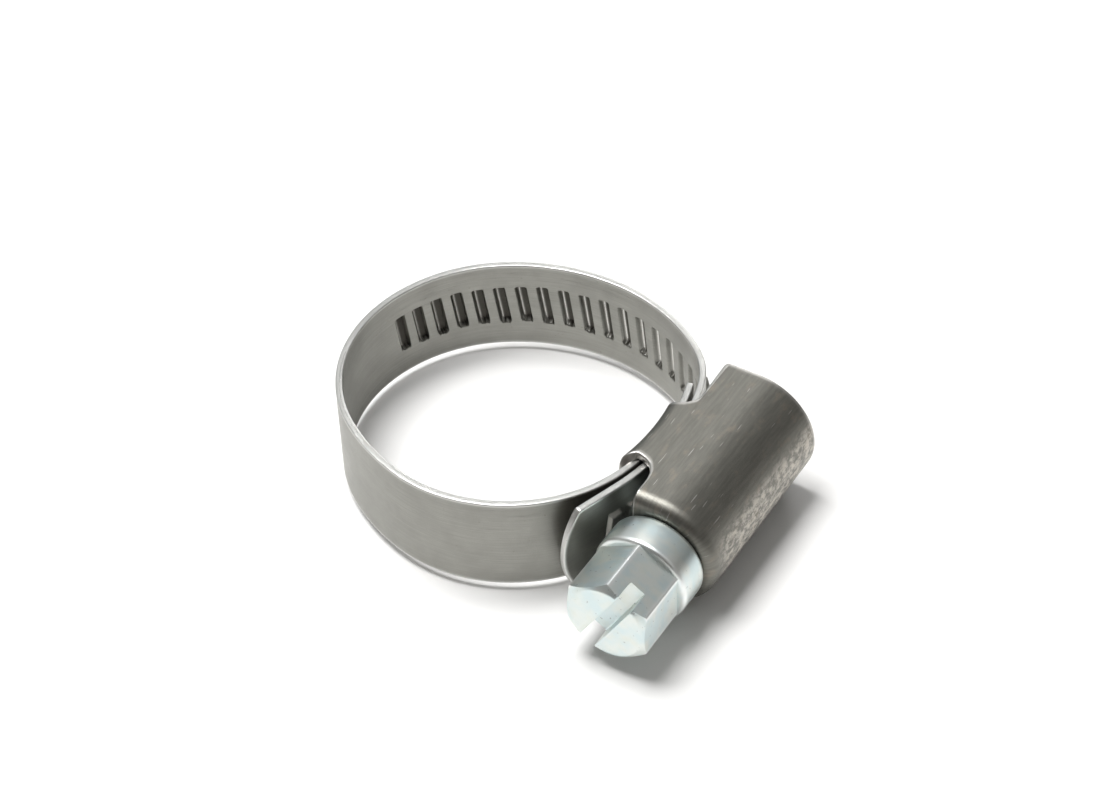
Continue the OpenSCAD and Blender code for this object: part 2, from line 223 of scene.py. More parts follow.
def tube_quads(rings, count):
    """Quads of a tube of rings of count points each, with a cap at either end."""
    first = np.arange(count)
    last = first + (rings - 1) * count
    sides = grid_quads(rings, count, close_columns=True)
    return np.concatenate([sides, paired_cap(first)[:, ::-1], paired_cap(last)])


def table_of(*parts):
    """The parts, each spread over the shape of all, side by side as the columns of one table."""
    return np.stack(np.broadcast_arrays(*parts), axis=-1).reshape(-1, len(parts))


def bell(distance, width):
    """1 where the distance is 0, falling off to both sides within about the width."""
    return np.exp(-((distance / width) ** 2))


def outward(points, quads):
    """The quads, turned over if the volume that they enclose comes out negative."""
    a, b, c, d = (points[quads[:, k]] for k in range(4))
    volume = np.einsum("ij,ij->i", a, np.cross(b, c)) + np.einsum("ij,ij->i", a, np.cross(c, d))
    return quads if volume.sum() > 0 else quads[:, ::-1]


def make_piece(name, points, quads, layers, material, sharp_angle):
    """A smooth mesh object from points in millimetres, whose edges stay sharp where they turn by more
    than sharp_angle."""
    quads = outward(points, quads)
    mesh = bpy.data.meshes.new(name)
    mesh.from_pydata(points * MM, [], quads)
    if mesh.validate():
        raise RuntimeError(f"{name}: the mesh had faults")
    mesh.shade_smooth()
    mesh.set_sharp_from_angle(angle=math.radians(sharp_angle))
    for layer, values in layers.items():
        kind, key = ("FLOAT_VECTOR", "vector") if values.ndim == 2 else ("FLOAT", "value")
        made = mesh.attributes.new(layer, kind, "POINT")
        made.data.foreach_set(key, values.astype(np.float32).ravel())
    mesh.materials.append(material)
    piece = bpy.data.objects.new(name, mesh)
    bpy.context.scene.collection.objects.link(piece)
    return piece


def ramp(value, start, end):
    """0 before start, 1 after end and a smooth rise between them."""
    t = np.clip((value - start) / (end - start), 0.0, 1.0)
    return t * t * (3 - 2 * t)


def smoothed(values, sigma, mode):
    """Rows of values, each replaced by the bell-weighted mean of its neighbours, sigma in rows."""
    reach = int(math.ceil(3 * sigma))
    weights = np.exp(-0.5 * (np.arange(-reach, reach + 1) / sigma) ** 2)
    weights /= weights.sum()
    kinds = {"ends": {"mode": "reflect", "reflect_type": "odd"}, "ring": {"mode": "wrap"}}
    padded = np.pad(values, ((reach, reach), (0, 0)), **kinds[mode])
    return np.stack([np.convolve(column, weights, "valid") for column in padded.T], axis=-1)


def unit(angle):
    """The unit vector at an angle."""
    return np.stack([np.cos(angle), np.sin(angle)], axis=-1)


# --- Strip ---

# Step along the middle line, and the reach of its smoothing
STEP = 0.05
LINE_SMOOTHING = 0.5
# Angles where the ring leaves the hose circle and the fixed layer leaves the tunnel's curve
SEAT_ANGLE = math.radians(123)
FIXED_RUN = math.radians(12)
# Teeth from the screw's middle to the end of the tunnel's curve, and to the cut in the back
SLIDE_TEETH = 3.5
JOIN_TEETH = 12.5
# Radius that stands for a straight line
STRAIGHT_R = 1e4


def ring_side(flank_r, run_r, run_angle, curve_x):
    """Shoulder and flank of one side of the ring: the shoulder's circle touches the tunnel's curve
    at run_angle and the flank's circle from inside, and the flank touches the hose circle."""
    flank_c = -(flank_r - HOSE_R) * unit(SEAT_ANGLE)
    run = unit(run_angle)
    gap = np.array([curve_x, 0.0]) + run_r * run - flank_c
    shoulder_r = (flank_r**2 - gap @ gap) / (2 * (flank_r - gap @ run))
    shoulder_c = np.array([curve_x, 0.0]) + (run_r - shoulder_r) * run
    turn = math.atan2(*(shoulder_c - flank_c)[::-1])
    return shoulder_c, shoulder_r, flank_c, turn


class StripLine:
    """The strip's middle line, clockwise from the fixed end's tip to the free end's tip."""

    def __init__(self, sizes):
        half = STRIP_T / 2
        fixed_r = sizes.curve_r
        slide_r = fixed_r + STRIP_T + sizes.layer_gap
        curve_x = float(BOXES["band_fixed_end"][1][0]) - STRIP_T - fixed_r
        pitch_angle = sizes.tooth_pitch / (slide_r + half)
        slide_run = SLIDE_TEETH * pitch_angle
        tongue = math.asin(float(BOXES["band_fixed_end"][1][1]) / (fixed_r + STRIP_T))
        tail = math.asin(sizes.tail_curve_y / slide_r)
        front = ring_side(sizes.front_flank_r, fixed_r, FIXED_RUN, curve_x)
        back = ring_side(sizes.back_flank_r, slide_r, slide_run, curve_x)
        straight = np.array([curve_x, 0.0]) + (slide_r + half - STRAIGHT_R) * unit(-tail)
        arcs = np.array([
            [curve_x, 0, fixed_r + half, tongue, -FIXED_RUN],
            [front[0][0], -front[0][1], front[1] + half, -FIXED_RUN, -front[3]],
            [front[2][0], -front[2][1], sizes.front_flank_r + half, -front[3], -SEAT_ANGLE],
            [0, 0, HOSE_R + half, -SEAT_ANGLE, -math.pi],
            [0, 0, HOSE_R + half, math.pi, SEAT_ANGLE],
            [back[2][0], back[2][1], sizes.back_flank_r + half, SEAT_ANGLE, back[3]],
            [back[0][0], back[0][1], back[1] + half, back[3], slide_run],
            [curve_x, 0, slide_r + half, slide_run, -tail],
            [*straight, STRAIGHT_R, -tail, -tail - sizes.tip_l / STRAIGHT_R],
        ])
        lengths = arcs[:, 2] * (arcs[:, 3] - arcs[:, 4])
        ends = np.cumsum(lengths)
        s = np.arange(0.0, ends[-1] + STEP, STEP)
        k = np.minimum(np.searchsorted(ends, s, side="right"), len(arcs) - 1)
        angle = arcs[k, 3] - (s - (ends[k] - lengths[k])) / arcs[k, 2]
        points = arcs[k, :2] + arcs[k, 2, None] * unit(angle)
        self.points = smoothed(points, LINE_SMOOTHING / STEP, "ends")
        along = np.gradient(self.points, axis=0)
        along /= np.linalg.norm(along, axis=1, keepdims=True)
        self.out = np.stack([-along[:, 1], along[:, 0]], axis=-1)
        self.s = s
        self.front_bend = ends[0]
        self.side_bend = ends[3]
        self.back_bend = ends[6]
        self.screw = ends[6] + slide_run * (slide_r + half)
        self.tip = ends[-1]

    def at(self, table, s):
        """A table's value at the lengths s along the line."""
        return np.stack([np.interp(s, self.s, table[:, k]) for k in (0, 1)], axis=-1)


# Columns across one tooth, from its middle line, and rows across the strip's face
TOOTH_COLUMNS = np.array([
    -0.97, -0.84, -0.76, -0.70, -0.65, -0.60, -0.565, -0.53, -0.49, -0.42, -0.35, -0.28, -0.23,
    -0.19, -0.12, 0.0, 0.12, 0.24, 0.30, 0.35, 0.40, 0.45, 0.50, 0.545, 0.58, 0.62, 0.67, 0.73,
    0.80, 0.89,
])
FACE_ROWS = np.array([
    -4.2, -3.9, -3.5, -3.0, -2.6, -2.36, -2.26, -2.18, -2.11, -2.05, -1.99, -1.93, -1.86, -1.78,
    -1.68, -1.5, -1.2, -0.8, -0.4,
])
# Step of the columns where there are no teeth, and room kept free beside teeth and ends
PLAIN_STEP = 0.22
ROW_ROOM = 0.10
END_ROOM = 0.12
# Runs of a tooth's wide and steep flanks and of its two ends
POCKET_FLANKS = (0.40, 0.13)
RIB_FLANKS = (0.24, 0.20)
TOP_RUN = 0.20
BOTTOM_RUN = 0.36
# How much further a rib reaches than its pocket
RIB_GROWTH = 0.10
# Share of a tooth's slope that stays straight
STRAIGHT_SHARE = 0.35
# Torn lower edge of the pockets
TEAR_H = 0.09
TEAR_WAVES = 21
TEAR_SHIFT = 9
# How unlike one another the teeth are
UNEVEN_TOP = 0.06
UNEVEN_BOTTOM = 0.12
UNEVEN_HEIGHT = 0.04
UNEVEN_TEETH = np.random.default_rng(11).uniform(-1, 1, (64, 4))
# Rounding of the strip's two cut ends, in edge radii, and its steps
END_ROUND = 1.4
ROUND_STEPS = np.sin(np.linspace(0, math.pi / 2, 6)[1:-1])
# Lengths over which columns take up the teeth's lean and the tip's outline
LEAN_RUN = 4.5
TIP_RUN = 4.0
# Distances from the strip's edge where the rubbed band starts and is full
WORN_EDGE = (0.34, 0.05)
# Shift that gives the inner face a pattern of its own
INNER_SHIFT = 8.0


def rounded_corner(r, count):
    """Points of a quarter round from one side to the next, as distances from both sides."""
    a = np.linspace(0, math.pi / 2, count)
    return np.stack([r * (1 - np.cos(a)), r * (1 - np.sin(a))], axis=-1)


def strip_section(sizes):
    """Half the loop round the strip's section: its inner face from the lower edge to the upper one,
    with both rounded corners, as height over the inner face and place across."""
    r = sizes.edge_r
    top = STRIP_W / 2
    rows = np.concatenate([FACE_ROWS, [0.0], -FACE_ROWS[::-1]])
    face = np.stack([np.zeros_like(rows), rows], axis=-1)
    corner = rounded_corner(r, 5)
    face = face[np.abs(face[:, 1]) < top - r]
    upper = np.stack([corner[:, 0], top - corner[:, 1]], axis=-1)
    lower = np.stack([corner[::-1, 0], -(top - corner[::-1, 1])], axis=-1)
    return np.concatenate([lower, face, upper])


def tooth_shape(sizes, line, s, z, inner):
    """Height of the pressed teeth at each point, its share of the full height, and how far a point
    is up the wide flank. A tooth is 1 less the distance by which a point falls short of the lower
    of the two side slopes and the lower of the two end slopes, so its corners come out round."""
    across = s + math.tan(sizes.slant) * z - line.screw
    k = np.round(-across / sizes.tooth_pitch)
    here = (k <= sizes.ring_teeth) & (k >= -sizes.tail_teeth)
    own = UNEVEN_TEETH[k.astype(int) % len(UNEVEN_TEETH)]
    a = across + k * sizes.tooth_pitch
    growth = 0.0 if inner else RIB_GROWTH
    half_w = sizes.pocket_w / 2 + growth
    half_l = sizes.pocket_l / 2 + growth
    wide, steep = POCKET_FLANKS if inner else RIB_FLANKS
    left = (a + half_w) / wide
    right = (half_w - a) / steep
    tear = TEAR_H * np.sin(a * TEAR_WAVES + own[..., 0] * TEAR_SHIFT) * inner
    top = (half_l + UNEVEN_TOP * own[..., 1] - z) / TOP_RUN
    bottom = (half_l + UNEVEN_BOTTOM * own[..., 2] + tear + z) / BOTTOM_RUN
    side_short = np.maximum(1 - np.minimum(left, right), 0)
    end_short = np.maximum(1 - np.minimum(top, bottom), 0)
    slope = np.clip(1 - np.hypot(side_short, end_short), 0, 1)
    slope = STRAIGHT_SHARE * slope + (1 - STRAIGHT_SHARE) * slope * slope * (3 - 2 * slope)
    depth = (sizes.pocket_d if inner else sizes.tooth_h) * (1 + UNEVEN_HEIGHT * own[..., 3])
    return np.where(here, slope * depth, 0.0), np.where(here, slope, 0.0), np.where(here, left, 0.0)


def strip_columns(sizes, line, start, end):
    """Places of the columns along the strip: close together over the teeth, wider elsewhere."""
    teeth = line.screw - np.arange(-sizes.tail_teeth, sizes.ring_teeth + 1) * sizes.tooth_pitch
    fine = (teeth[:, None] + TOOTH_COLUMNS).ravel()
    row_start, row_end = teeth.min() - sizes.tooth_pitch / 2, teeth.max() + sizes.tooth_pitch / 2
    plain = np.arange(line.s[0], line.tip, PLAIN_STEP)
    plain = plain[(plain < row_start - ROW_ROOM) | (plain > row_end + ROW_ROOM)]
    columns = np.sort(np.concatenate([fine, plain]))
    columns = columns[(columns > start + END_ROOM) & (columns < end - END_ROOM)]
    return np.concatenate([[start], columns, [end]])


def rounded_ends(columns, edge, is_tongue, is_tip):
    """The columns with a quarter round at a cut end, and how far each is drawn in, from 0 to 1."""
    drawn_in = 1 - np.sqrt(1 - ROUND_STEPS**2)
    shrink = np.zeros_like(columns)
    if is_tip:
        end = columns[-1]
        columns = np.concatenate([columns[:-1], end - edge * (1 - ROUND_STEPS), [end]])
        plain = np.zeros(len(columns) - len(ROUND_STEPS) - 1)
        shrink = np.concatenate([plain, drawn_in, [1.0]])
    if is_tongue:
        start = columns[0]
        columns = np.concatenate([[start], start + edge * (1 - ROUND_STEPS[::-1]), columns[1:]])
        plain = np.zeros(len(columns) - len(ROUND_STEPS) - 1)
        shrink = np.concatenate([[1.0], drawn_in[::-1], plain])
    return columns, shrink


def strip_piece(name, sizes, line, start, end, material):
    """One closed length of strip: its section carried along the middle line, in columns that lean
    with the teeth, each point lifted off its face by the teeth's height."""
    is_tongue, is_tip = start <= line.s[0], end >= line.tip
    edge = sizes.edge_r * END_ROUND
    columns = strip_columns(sizes, line, start, end)
    columns, shrink = rounded_ends(columns, edge, is_tongue, is_tip)
    half = strip_section(sizes)
    other = np.stack([STRIP_T - half[::-1, 0], half[::-1, 1]], axis=-1)
    loop = np.concatenate([half, other])
    inner = np.concatenate([np.ones(len(half), bool), np.zeros(len(half), bool)])
    c, h, z = columns[:, None], loop[None, :, 0], loop[None, :, 1]
    row_start = line.screw - (sizes.ring_teeth + 0.5) * sizes.tooth_pitch
    row_end = line.screw + (sizes.tail_teeth + 0.5) * sizes.tooth_pitch
    lean = ramp(c, row_start - LEAN_RUN, row_start) * (1 - ramp(c, row_end, line.tip))
    s = c - lean * math.tan(sizes.slant) * z
    if is_tip:
        drop = sizes.tip_r - np.sqrt(sizes.tip_r**2 - z**2)
        s = s - ramp(c, line.tip - TIP_RUN, line.tip) * drop
    pull = shrink[:, None] * edge
    middle = STRIP_T / 2
    h = middle + (h - middle) * (1 - pull / middle * 0.98)
    z = z * (1 - pull / (STRIP_W / 2))
    in_height, in_slope, flank = tooth_shape(sizes, line, s, z, True)
    out_height = tooth_shape(sizes, line, s, z, False)[0]
    on_face = np.abs(z) < STRIP_W / 2 - 2 * sizes.edge_r
    lift = np.where(on_face, np.where(inner, in_height, out_height), 0.0)
    burr = 0.0016 * (1 + np.sin(s * 1.9 + z) * np.sin(s * 0.47)) + 0.0008 * (1 + np.sin(s * 7.3))
    z_out = z * (1 - burr * ~on_face)
    xy = line.at(line.points, s) + line.at(line.out, s) * (h + lift - middle)[..., None]
    points = np.concatenate([xy, z_out[..., None]], axis=-1).reshape(-1, 3)
    worn = ramp(np.abs(z), STRIP_W / 2 - WORN_EDGE[0], STRIP_W / 2 - WORN_EDGE[1])
    worn = np.maximum(worn, shrink[:, None] > 0.01)
    # Share of the painted pocket shade: little on the wide flank, which faces the light, and full past it
    dull = 0.15 + 0.85 * ramp(flank, 0.85, 1.15)
    layers = {
        "place": table_of(s, z, inner * INNER_SHIFT),
        "worn": np.broadcast_to(worn, s.shape).ravel(),
        "pocket": np.where(inner, in_slope * dull, 0.0).ravel(),
        # Painted highlight: a bright line near the top of each pocket's wide flank
        "gleam": np.where(inner, in_slope * bell(flank - 0.9, 0.2), 0.0).ravel(),
    }
    return make_piece(name, points, tube_quads(len(columns), len(loop)), layers, material, SHARP_ANGLE)


# --- Housing ---

# Step round the section, and the reach of its smoothing
SECTION_STEP = 0.02
SECTION_SMOOTHING = 0.28
# Half the step by which the surface's slopes are measured
SLOPE_STEP = 0.01
# Where the saddle's curve fades into the straight walls
BOW_FADE = (15.0, 16.2)
# Turns of the relief's knots about its centre
RELIEF_TURNS = np.array([78, 60, 46, 22, 0]) * math.pi / 180
# Columns from each knot of the cut edges to the next, and the rounding there
KNOT_COLUMNS = [18, 12, 8, 8, 22, 10, 10, 30, 12] + [8] * 8
CUT_ROUNDING = 1.6
# Rows over the outer face, under the inner face and round half of a cut edge
OVER_ROWS = 96
UNDER_ROWS = 64
ROUND_ROWS = 5
# How much closer the outer rows lie towards the near end
OVER_CROWDING = 1.25
# Distances from a cut edge between which it is rubbed bright
CUT_WORN = (0.08, 0.5)
# Rubbed patch low on the arch
RUBBED_MIDDLE = 0.6
RUBBED_REACH = 1.7
RUBBED_START = (-7.5, -5.0)
# Depth up to which a point counts as on the outer face
OUTER_DEPTH = 0.3


class HousingSheet:
    """The housing's outer surface, over the length u round its section and the length y along it.

    The section is a stadium: flat saddle, a small fold, flat side wall and a half round arch, and
    the same again mirrored. Past the near end the surface turns inwards through a quarter round
    and runs on as the end wall, towards the screw's axis."""

    def __init__(self, sizes):
        self.sizes = sizes
        fold, wall = sizes.fold_r, ARCH_R
        saddle_x = HOSE_R + sizes.saddle_gap
        quarter = math.pi / 2
        self.saddle_x = saddle_x
        self.lengths = np.cumsum([wall - fold, fold * quarter, ARCH_X - saddle_x - fold, wall * quarter])
        a, b, c, d = self.lengths
        self.half = d
        count = int(round(2 * d / SECTION_STEP))
        u = np.arange(count) * (2 * d / count)
        v = np.minimum(u, 2 * d - u)
        turn = np.clip((v - a) / fold, 0, quarter)
        arch = np.clip((v - c) / wall, 0, quarter)
        x = saddle_x + fold * (1 - np.cos(turn)) + np.clip(v - b, 0, c - b) + wall * np.sin(arch)
        z = np.minimum(v, a) + fold * np.sin(turn) - wall * (1 - np.cos(arch))
        z = np.where(u <= d, z, -z)
        self.u = u
        reach = SECTION_SMOOTHING / SECTION_STEP
        self.table = smoothed(np.stack([x, z], axis=-1), reach, "ring")
        along = np.roll(self.table, -1, axis=0) - np.roll(self.table, 1, axis=0)
        along /= np.linalg.norm(along, axis=1, keepdims=True)
        self.inward = np.stack([along[:, 1], -along[:, 0]], axis=-1)
        self.curve_x = saddle_x - sizes.saddle_r
        self.bend_y = float(HOUSING_LOW[1]) + sizes.bend_r

    def read(self, table, u):
        """A table's value at lengths u round the section, which closes on itself."""
        period = 2 * self.half
        return np.stack([np.interp(u % period, self.u, table[:, k], period=period) for k in (0, 1)], -1)

    def skin(self, u, y):
        """Point of the outer surface."""
        bend_r = self.sizes.bend_r
        past = np.maximum(self.bend_y - y, 0.0)
        beta = np.minimum(past / bend_r, math.pi / 2)
        inward = bend_r * (1 - np.cos(beta)) + np.maximum(past - bend_r * math.pi / 2, 0.0)
        at = self.read(self.table, u) + self.read(self.inward, u) * inward[..., None]
        place = np.where(y < self.bend_y, self.bend_y - bend_r * np.sin(beta), y)
        reach = np.maximum(at[..., 0] - self.curve_x, 1.0)
        bow = np.sqrt(np.maximum(reach**2 - place**2, 0.0)) - reach
        bow = bow * (1 - ramp(at[..., 0], *BOW_FADE))
        return np.stack([at[..., 0] + bow, place, at[..., 1]], axis=-1)

    def shell(self, u, y, depth):
        """Point at a depth under the outer surface, along the surface's own normal, which is the
        cross product of its two small steps."""
        e = SLOPE_STEP
        du = self.skin(u + e, y) - self.skin(u - e, y)
        dy = self.skin(u, y + e) - self.skin(u, y - e)
        normal = np.cross(dy, du)
        normal /= np.linalg.norm(normal, axis=-1, keepdims=True)
        return self.skin(u, y) + normal * depth[..., None]


def edge_knots(sheet):
    """The sheet's two cut edges over one half of the section, as knots (u, y) of the near edge and
    of the far edge. Knots are paired, and the small offsets keep their joining lines from crossing."""
    sizes = sheet.sizes
    a, b, c, d = sheet.lengths
    wall_u = b - (sheet.saddle_x + sizes.fold_r)
    near_u, far_u = sizes.near_edge_x + wall_u, sizes.far_edge_x + wall_u
    centre = np.array([sizes.near_edge_x - sizes.relief_r, -sizes.wall_near - sizes.relief_r])
    relief = centre + sizes.relief_r * unit(RELIEF_TURNS)
    relief[:, 0] += wall_u
    side_y = float(relief[0, 1])
    turn = sheet.bend_y - sizes.bend_r * math.pi / 2
    slot_y = turn - (ARCH_R - sizes.bend_r - sizes.neck_hole_r)
    theta = np.linspace(math.pi / 2, 0, 9)
    off = SCREW_X - ARCH_X
    rim = off * np.cos(theta) + np.sqrt(sizes.neck_hole_r**2 - (off * np.sin(theta)) ** 2)
    hole = np.stack([c + (math.pi / 2 - theta) * ARCH_R, turn - (ARCH_R - sizes.bend_r - rim)], axis=-1)
    far_y = float(HOUSING_HIGH[1])
    near = [
        [0, -sizes.saddle_near], [a - 0.4, -sizes.saddle_near], [b - 0.5, side_y - 0.35],
        *relief, [near_u, slot_y], [c, slot_y], *hole[1:],
    ]
    far = [
        [0, sizes.saddle_far], [a - 0.4, sizes.saddle_far], [b - 0.5, sizes.saddle_far - 0.1],
        [b + 0.2, sizes.saddle_far + 0.1], [far_u, sizes.saddle_far + 1.0], [far_u, far_y],
        [far_u + 0.7, far_y], [near_u + 0.4, far_y], [near_u + 1.5, far_y], [c + 0.6, far_y],
        *[[u, far_y] for u in np.linspace(c + 0.6, d, 9)[1:]],
    ]
    return np.array(near, float), np.array(far, float)


def cut_edge(sheet, knots):
    """A cut edge all the way round: the knots' straight runs, with their corners rounded, then the
    same mirrored, and the edge's own unit normal that points into the sheet."""
    at = np.concatenate([k + np.arange(n) / n for k, n in enumerate(KNOT_COLUMNS)])
    half = np.stack([np.interp(at, np.arange(len(knots)), knots[:, k]) for k in (0, 1)], axis=-1)
    ring = np.concatenate([half, knots[-1:], (half * [-1, 1] + [2 * sheet.half, 0])[:0:-1]])
    drift = np.arange(len(ring)) * (2 * sheet.half / len(ring))
    ring[:, 0] -= drift
    ring = smoothed(ring, CUT_ROUNDING, "ring")
    ring[:, 0] += drift
    along = np.roll(ring, -1, axis=0) - np.roll(ring, 1, axis=0)
    along[[0, -1], 0] += 2 * sheet.half
    along /= np.linalg.norm(along, axis=1, keepdims=True)
    return ring, np.stack([-along[:, 1], along[:, 0]], axis=-1)


def housing_piece(sizes, material):
    """The housing as one closed sheet: out over its outer face, round the far edge, back under its
    inner face and round the near edge, for every column round the section."""
    sheet = HousingSheet(sizes)
    (near, near_in), (far, far_out) = (cut_edge(sheet, knots) for knots in edge_knots(sheet))
    far_in = -far_out
    r, t = sizes.edge_r, sizes.sheet_t
    over = np.linspace(0, 1, OVER_ROWS) ** OVER_CROWDING
    under = np.linspace(1, 0, UNDER_ROWS)
    a = np.linspace(0, math.pi / 2, ROUND_ROWS + 1)[1:]
    round_in, round_deep = r * (1 - np.sin(a)), r * (1 - np.cos(a))
    # Each row of the loop: share of the way to the far edge, inset from that edge, and depth
    rim_in = np.concatenate([round_in, round_in[::-1]])
    rim_deep = np.concatenate([round_deep, t - round_deep[::-1]])
    share = np.concatenate([over, np.ones(len(rim_in)), under, np.zeros(len(rim_in))])
    inset = np.concatenate([np.full(OVER_ROWS, r), rim_in, np.full(UNDER_ROWS, r), rim_in[::-1]])
    depth = np.concatenate([np.zeros(OVER_ROWS), rim_deep, np.full(UNDER_ROWS, t), rim_deep[::-1]])
    start = near[:, None] + near_in[:, None] * inset[None, :, None]
    end = far[:, None] + far_in[:, None] * inset[None, :, None]
    domain = start + (end - start) * share[None, :, None]
    depth = np.broadcast_to(depth, domain.shape[:2])
    points = sheet.shell(domain[..., 0], domain[..., 1], depth)
    columns, rows = domain.shape[:2]
    quads = grid_quads(columns, rows, close_rows=True, close_columns=True)
    to_near = np.linalg.norm(domain - near[:, None], axis=-1)
    to_far = np.linalg.norm(domain - far[:, None], axis=-1)
    worn = 1 - ramp(np.minimum(to_near, to_far), *CUT_WORN)
    low = domain[..., 0] - sheet.half
    rubbed = np.exp(-(((np.abs(low) - RUBBED_MIDDLE) / RUBBED_REACH) ** 4))
    rubbed = rubbed * ramp(domain[..., 1], *RUBBED_START)
    layers = {
        "rubbed": rubbed.ravel(),
        "place": table_of(domain[..., 0], domain[..., 1], depth),
        "worn": worn.ravel(),
        "outside": (depth < OUTER_DEPTH).astype(float).ravel(),
    }
    return make_piece("housing_sheet", points.reshape(-1, 3), quads, layers, material, SHARP_ANGLE)


# --- Screw ---

# Rounded rims: distance from the end along the axis, and distance inside the full radius
COLLAR_FOOT = [(0.0, 0.42), (0.03, 0.30), (0.10, 0.16), (0.22, 0.05), (0.36, 0.005), (0.5, 0.0), (1.2, 0.0)]
COLLAR_TOP = [(1.2, 0.0), (0.4, 0.0), (0.26, 0.01), (0.12, 0.06), (0.03, 0.17), (0.0, 0.28)]
THREAD_END = [(0.28, 0.0), (0.2, 0.05), (0.06, 0.16), (0.0, 0.32)]
# Radii of the tiny flat that closes an end and of the collar's flats
HUB_R = 0.15
FLAT_R = 3.2
# Gap between the collar and the end wall
COLLAR_GAP = 0.1
# Columns round the axis and the step along the thread
TURN_COLUMNS = 120
THREAD_STEP = 0.045
# The thread's half width at the core and the run of each flank
THREAD_HALF = 0.43
THREAD_FLANK = 0.22
# How far the head reaches into the collar
HEAD_SINK = 0.03
# Driver slot: columns beside each wall, and size and reach of its floor's fillet and lips' burr
SLOT_BESIDE = np.array([0.07, 0.035, 0.012, 0.004])
FLOOR_FILLET = (0.05, 0.04)
LIP_BURR = (0.05, 0.05)
# Slope of the end chamfer, and the softening of its start
CHAMFER_SLOPE = math.tan(math.radians(33))
CHAMFER_SOFTENING = 0.03
# Rows down the sides, as shares of the way to the collar
SIDE_STEPS = np.concatenate([[0.02, 0.05], np.linspace(0, 1, 20)[1:]])


def turned_piece(name, sizes, material):
    """Core, thread, neck and collar: a radius over the angle round the screw's axis and the place
    along it, where the thread's height depends on the place less the pitch times the turn."""
    end, near = float(SCREW_HIGH[1]), float(HOUSING_LOW[1])
    collar_r, core_r, neck_r = float(SCREW_HIGH[2]), sizes.core_r, sizes.neck_r
    top = near - COLLAR_GAP
    foot = top - sizes.collar_l
    neck_end = near + sizes.sheet_t
    profile = [
        [foot + 0.02, HUB_R], [foot, 2.6], [foot, FLAT_R],
        *([foot + away, collar_r - inside] for away, inside in COLLAR_FOOT),
        *([top - away, collar_r - inside] for away, inside in COLLAR_TOP),
        [top, FLAT_R], [top, neck_r + 0.12], [top + 0.05, neck_r + 0.03], [top + 0.14, neck_r],
        [neck_end - 0.1, neck_r], [neck_end, neck_r + 0.02], [neck_end + 0.1, core_r - 0.03],
    ]
    y = np.arange(neck_end + 0.16, end - 0.3, THREAD_STEP)
    worm = np.stack([y, np.full_like(y, core_r)], axis=-1)
    tail = [*([end - away, core_r - inside] for away, inside in THREAD_END), [end, 1.2], [end - 0.02, HUB_R]]
    line = np.concatenate([profile, worm, tail])
    angle = np.arange(TURN_COLUMNS) * (2 * math.pi / TURN_COLUMNS)
    place, radius = line[:, None, 0], line[:, None, 1]
    phase = (place + sizes.pitch * angle / (2 * math.pi) + sizes.pitch / 2) % sizes.pitch - sizes.pitch / 2
    height = (sizes.thread_r - core_r) * np.clip((THREAD_HALF - np.abs(phase)) / THREAD_FLANK, 0, 1)
    inside = ramp(place, neck_end + 0.2, neck_end + 0.9) * (1 - ramp(place, end - 1.0, end - 0.25))
    radius = radius + height * inside
    x = SCREW_X + radius * np.cos(angle)
    z = radius * np.sin(angle)
    # Painted highlight: a bright band round the collar's rounded rim on the hexagon's side
    rim = bell(place - foot - 0.2, 0.22) * (radius > collar_r - 0.6)
    layers = {
        "worn": np.broadcast_to(rim, x.shape).ravel(),
        "place": table_of(angle * radius, place, radius),
    }
    quads = tube_quads(len(line), TURN_COLUMNS)
    return make_piece(name, table_of(x, place, z), quads, layers, material, SHARP_ANGLE)


def chord(sizes, p):
    """Half the hexagon's width at a distance p from its middle plane, with rounded corners: the
    straight sides, and circles that touch two sides each."""
    r, flat = sizes.corner_r, sizes.hex_af / 2
    tip = flat / math.cos(math.pi / 6)
    side = math.tan(math.pi / 3)
    p = np.abs(p)
    straight = np.minimum(flat, side * (tip - p))
    shoulder = tip / 2 - r * math.tan(math.pi / 6)
    on_shoulder = (p > shoulder) & (p < shoulder + r * math.sin(math.pi / 3))
    q = flat - r + np.sqrt(np.maximum(r**2 - (p - shoulder) ** 2, 0))
    straight = np.where(on_shoulder, q, straight)
    point = tip - r / math.sin(math.pi / 3)
    on_tip = p > point + r * math.sin(math.pi / 3)
    return np.where(on_tip, np.sqrt(np.maximum(r**2 - (p - point) ** 2, 1e-6)), straight)


